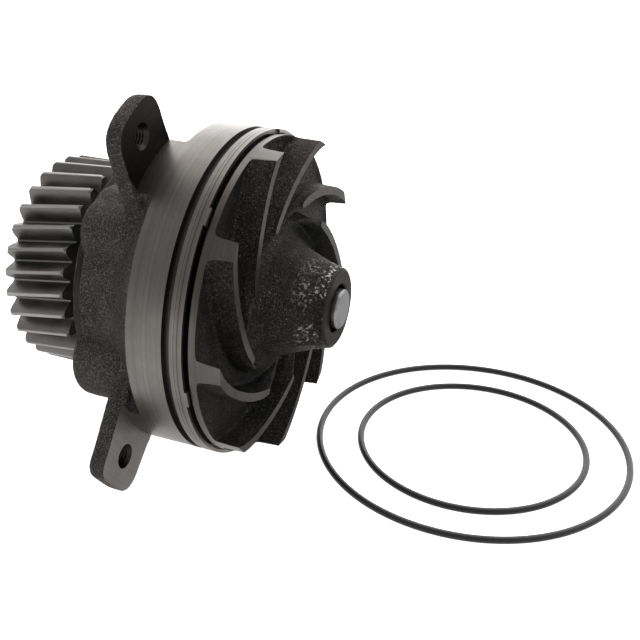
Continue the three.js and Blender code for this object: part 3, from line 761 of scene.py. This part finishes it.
def make_circlip():
    """Sprung ring with a gap, and a lug for the pliers at each end."""
    inner, outer, half_gap = 35.6, 41.9, 18
    lug_r = inner - 4.5
    steps = 96
    turn = [half_gap + (360 - 2 * half_gap) * k / steps + 90 for k in range(steps + 1)]
    first, last = turn[0], turn[-1]
    outline = [(outer, a) for a in turn]
    outline += [(lug_r, last), (lug_r, last - 7), (inner, last - 9)]
    outline += [(inner, a) for a in reversed(turn[5:-5])]
    outline += [(inner, first + 9), (lug_r, first + 7), (lug_r, first)]
    clip = loft("circlip_steel", (-54.15, -52.35), lambda i: outline, [PHOSPHATE])
    finish_piece(clip, "bearing_circlip", "housing")


# ---------- Seals ----------
def make_seal_spring():
    bm = bmesh.new()
    turns, sides, steps = 2, 12, 64
    wire, coil_r, start, rise = 0.42, 16.8, 3.3, 1.5
    loops = []
    for i in range(turns * steps + 1):
        turn = i / steps
        loop = []
        for k in range(sides):
            a = 2 * math.pi * k / sides
            station = start + rise * turn + wire * math.cos(a)
            loop.append(bm.verts.new(at(station, coil_r + wire * math.sin(a), 360 * turn)))
        loops.append(loop)
    bridge(bm, loops)
    for end in (loops[0], loops[-1]):
        bm.faces.new(end)
    finish_piece(from_bmesh("seal_spring_wire", bm, [SHAFT_STEEL]), "seal_spring", "housing")


def make_seals():
    oil_case = [(-11.5, 19.7), (-11.5, 20.7), (-4.5, 20.7), (-4.5, 16), (-5.5, 16), (-5.5, 19.7)]
    oil_lip = [(-7.3, 19.4), (-5.8, 19.4), (-5.8, 14.5), (-9.2, 13.3), (-10, 14.9), (-7.6, 16.1)]
    case = [
        (0, 13.8), (0, 18.7), (4.3, 18.7), (4.3, 22), (5.3, 22), (5.3, 18.7), (8.5, 18.7), (8.5, 17.7),
        (1, 17.7), (1, 13.8),
    ]
    bellows = [
        (1.3, 13.6), (1.3, 16.5), (2.5, 16.5), (2.5, 14.5), (4.9, 14.5), (5.9, 15.7), (6.7, 15.7),
        (6.7, 13.6),
    ]
    fixed = (
        ("oil_seal_case", oil_case, PRESSED_STEEL, "pressed_steel", 0.4),
        ("oil_seal_lip", oil_lip, SEAL_RUBBER, "seal_rubber", 0.5),
        ("seal_case", case, PRESSED_STEEL, "pressed_steel", 0.35),
        ("seal_bellows", bellows, SEAL_RUBBER, "seal_rubber", 0.5),
        ("seal_carbon_ring", ring(7.0, 11.9, 14.5, 17.2), CARBON, "carbon", 0.3),
    )
    for node, profile, material, slot, soft in fixed:
        finish_piece(turned(f"{node}_turned", profile, [material], 128, soft=soft), node, "housing")
    seat = turned("mating_ring_ceramic", ring(12.2, 16.2, 13.6, MATING_RING_R), [CERAMIC], 128, soft=0.4)
    finish_piece(seat, "seal_mating_ring", "rotor")
    make_seal_spring()


# ---------- Loose rings ----------
def make_o_ring(node, radius):
    """Rubber ring lying on the floor, with the fine line that the mould's joint leaves round it."""
    low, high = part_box(node)
    centre = Vector(((low.x + high.x) / 2, (low.y + high.y) / 2, FLOOR_Z + RING_SECTION / 2 * MM))
    bm = bmesh.new()
    segments, sides = 256, 28
    loops = []
    for i in range(segments):
        a = 2 * math.pi * i / segments
        loop = []
        for k in range(sides):
            b = 2 * math.pi * k / sides
            flash = 0.05 * max(0.0, math.cos(b)) ** 60
            half = RING_SECTION / 2 - 0.05 + flash
            r = (radius + half * math.cos(b)) * MM
            offset = Vector((r * math.cos(a), r * math.sin(a), half * math.sin(b) * MM))
            loop.append(bm.verts.new(centre + offset))
        loops.append(loop)
    bridge(bm, loops, wrap=True)
    body = node.replace("_o_ring", "_ring")
    finish_piece(from_bmesh(f"{node}_rubber", bm, [RING_RUBBER]), node, body, 60)


# ---------- Stage ----------
def add_stage():
    bm = bmesh.new()
    bmesh.ops.create_grid(bm, x_segments=1, y_segments=1, size=12)
    floor = from_bmesh("studio_floor", bm)
    floor.location.z = FLOOR_Z
    m = Shader("floor_light_table", 0.0, 0.9)
    m.set("Base Color", m.blend(m.noise(3, 2), grey(0.52), grey(0.55)))
    m.surface.inputs["Emission Color"].default_value = (1, 1, 1, 1)
    m.surface.inputs["Emission Strength"].default_value = TABLE_GLOW
    floor.data.materials.append(m.material)


def add_light(name, place, target, size, power):
    light = bpy.data.lights.new(name, "AREA")
    light.shape = "RECTANGLE"
    light.size, light.size_y = size
    light.energy = power
    lamp = bpy.data.objects.new(name, light)
    bpy.context.scene.collection.objects.link(lamp)
    lamp.location = place
    lamp.rotation_euler = (Vector(target) - Vector(place)).to_track_quat("-Z", "Y").to_euler()


def add_lights():
    """Soft room: a bright back wall that fades out overhead, a dim front, and three weak softboxes."""
    world = bpy.data.worlds.new("studio")
    bpy.context.scene.world = world
    world.use_nodes = True
    tree = world.node_tree
    background = tree.nodes["Background"]
    background.inputs["Color"].default_value = (1, 1, 1, 1)
    direction = tree.nodes.new("ShaderNodeTexCoord").outputs["Generated"]
    towards_back = tree.nodes.new("ShaderNodeVectorMath")
    towards_back.operation = "DOT_PRODUCT"
    towards_back.inputs[1].default_value = TOWARDS_BACK
    rise = tree.nodes.new("ShaderNodeMapRange")
    rise.interpolation_type = "SMOOTHSTEP"
    limits = {"From Min": 0.15, "From Max": 0.85, "To Min": ROOM_FRONT, "To Max": ROOM_BACK}
    for socket, value in limits.items():
        rise.inputs[socket].default_value = value
    tree.links.new(direction, towards_back.inputs[0])
    tree.links.new(towards_back.outputs["Value"], rise.inputs["Value"])
    tree.links.new(rise.outputs["Result"], background.inputs["Strength"])
    add_light("overhead", (0.0, 0.5, 1.3), (0, 0, 0), (1.6, 0.8), 9)
    add_light("left", (-1.2, -0.2, 0.6), (0, 0, 0), (0.7, 0.9), 3)
    add_light("right", (1.2, -0.3, 0.6), (0, 0, 0), (0.7, 0.9), 2)


def add_camera():
    target = Vector((-8.92, -7.26, -4.24)) * MM
    azimuth, elevation, roll = math.radians(20.403), math.radians(26.125), math.radians(2.128)
    distance = 450 * MM
    level = math.cos(elevation)
    back = Vector((math.sin(azimuth) * level, -math.cos(azimuth) * level, math.sin(elevation)))
    data = bpy.data.cameras.new("camera")
    data.sensor_width, data.lens = 36, 53.095
    data.clip_start, data.clip_end = 0.01, 50
    camera = bpy.data.objects.new("camera", data)
    bpy.context.scene.collection.objects.link(camera)
    camera.location = target + back * distance
    camera.rotation_mode = "QUATERNION"
    camera.rotation_quaternion = (-back).to_track_quat("-Z", "Y") @ Quaternion((0, 0, 1), roll)
    bpy.context.scene.camera = camera


def colour_management():
    settings = bpy.context.scene.view_settings
    settings.view_transform = "Standard"
    settings.look = "None"


make_housing()
make_impeller()
make_gear()
make_shaft()
for bearing in BEARINGS:
    make_bearing(**bearing)
make_circlip()
make_seals()
for ring_node, ring_radius in LOOSE_RINGS.items():
    make_o_ring(ring_node, ring_radius)
add_stage()
add_lights()
add_camera()
colour_management()
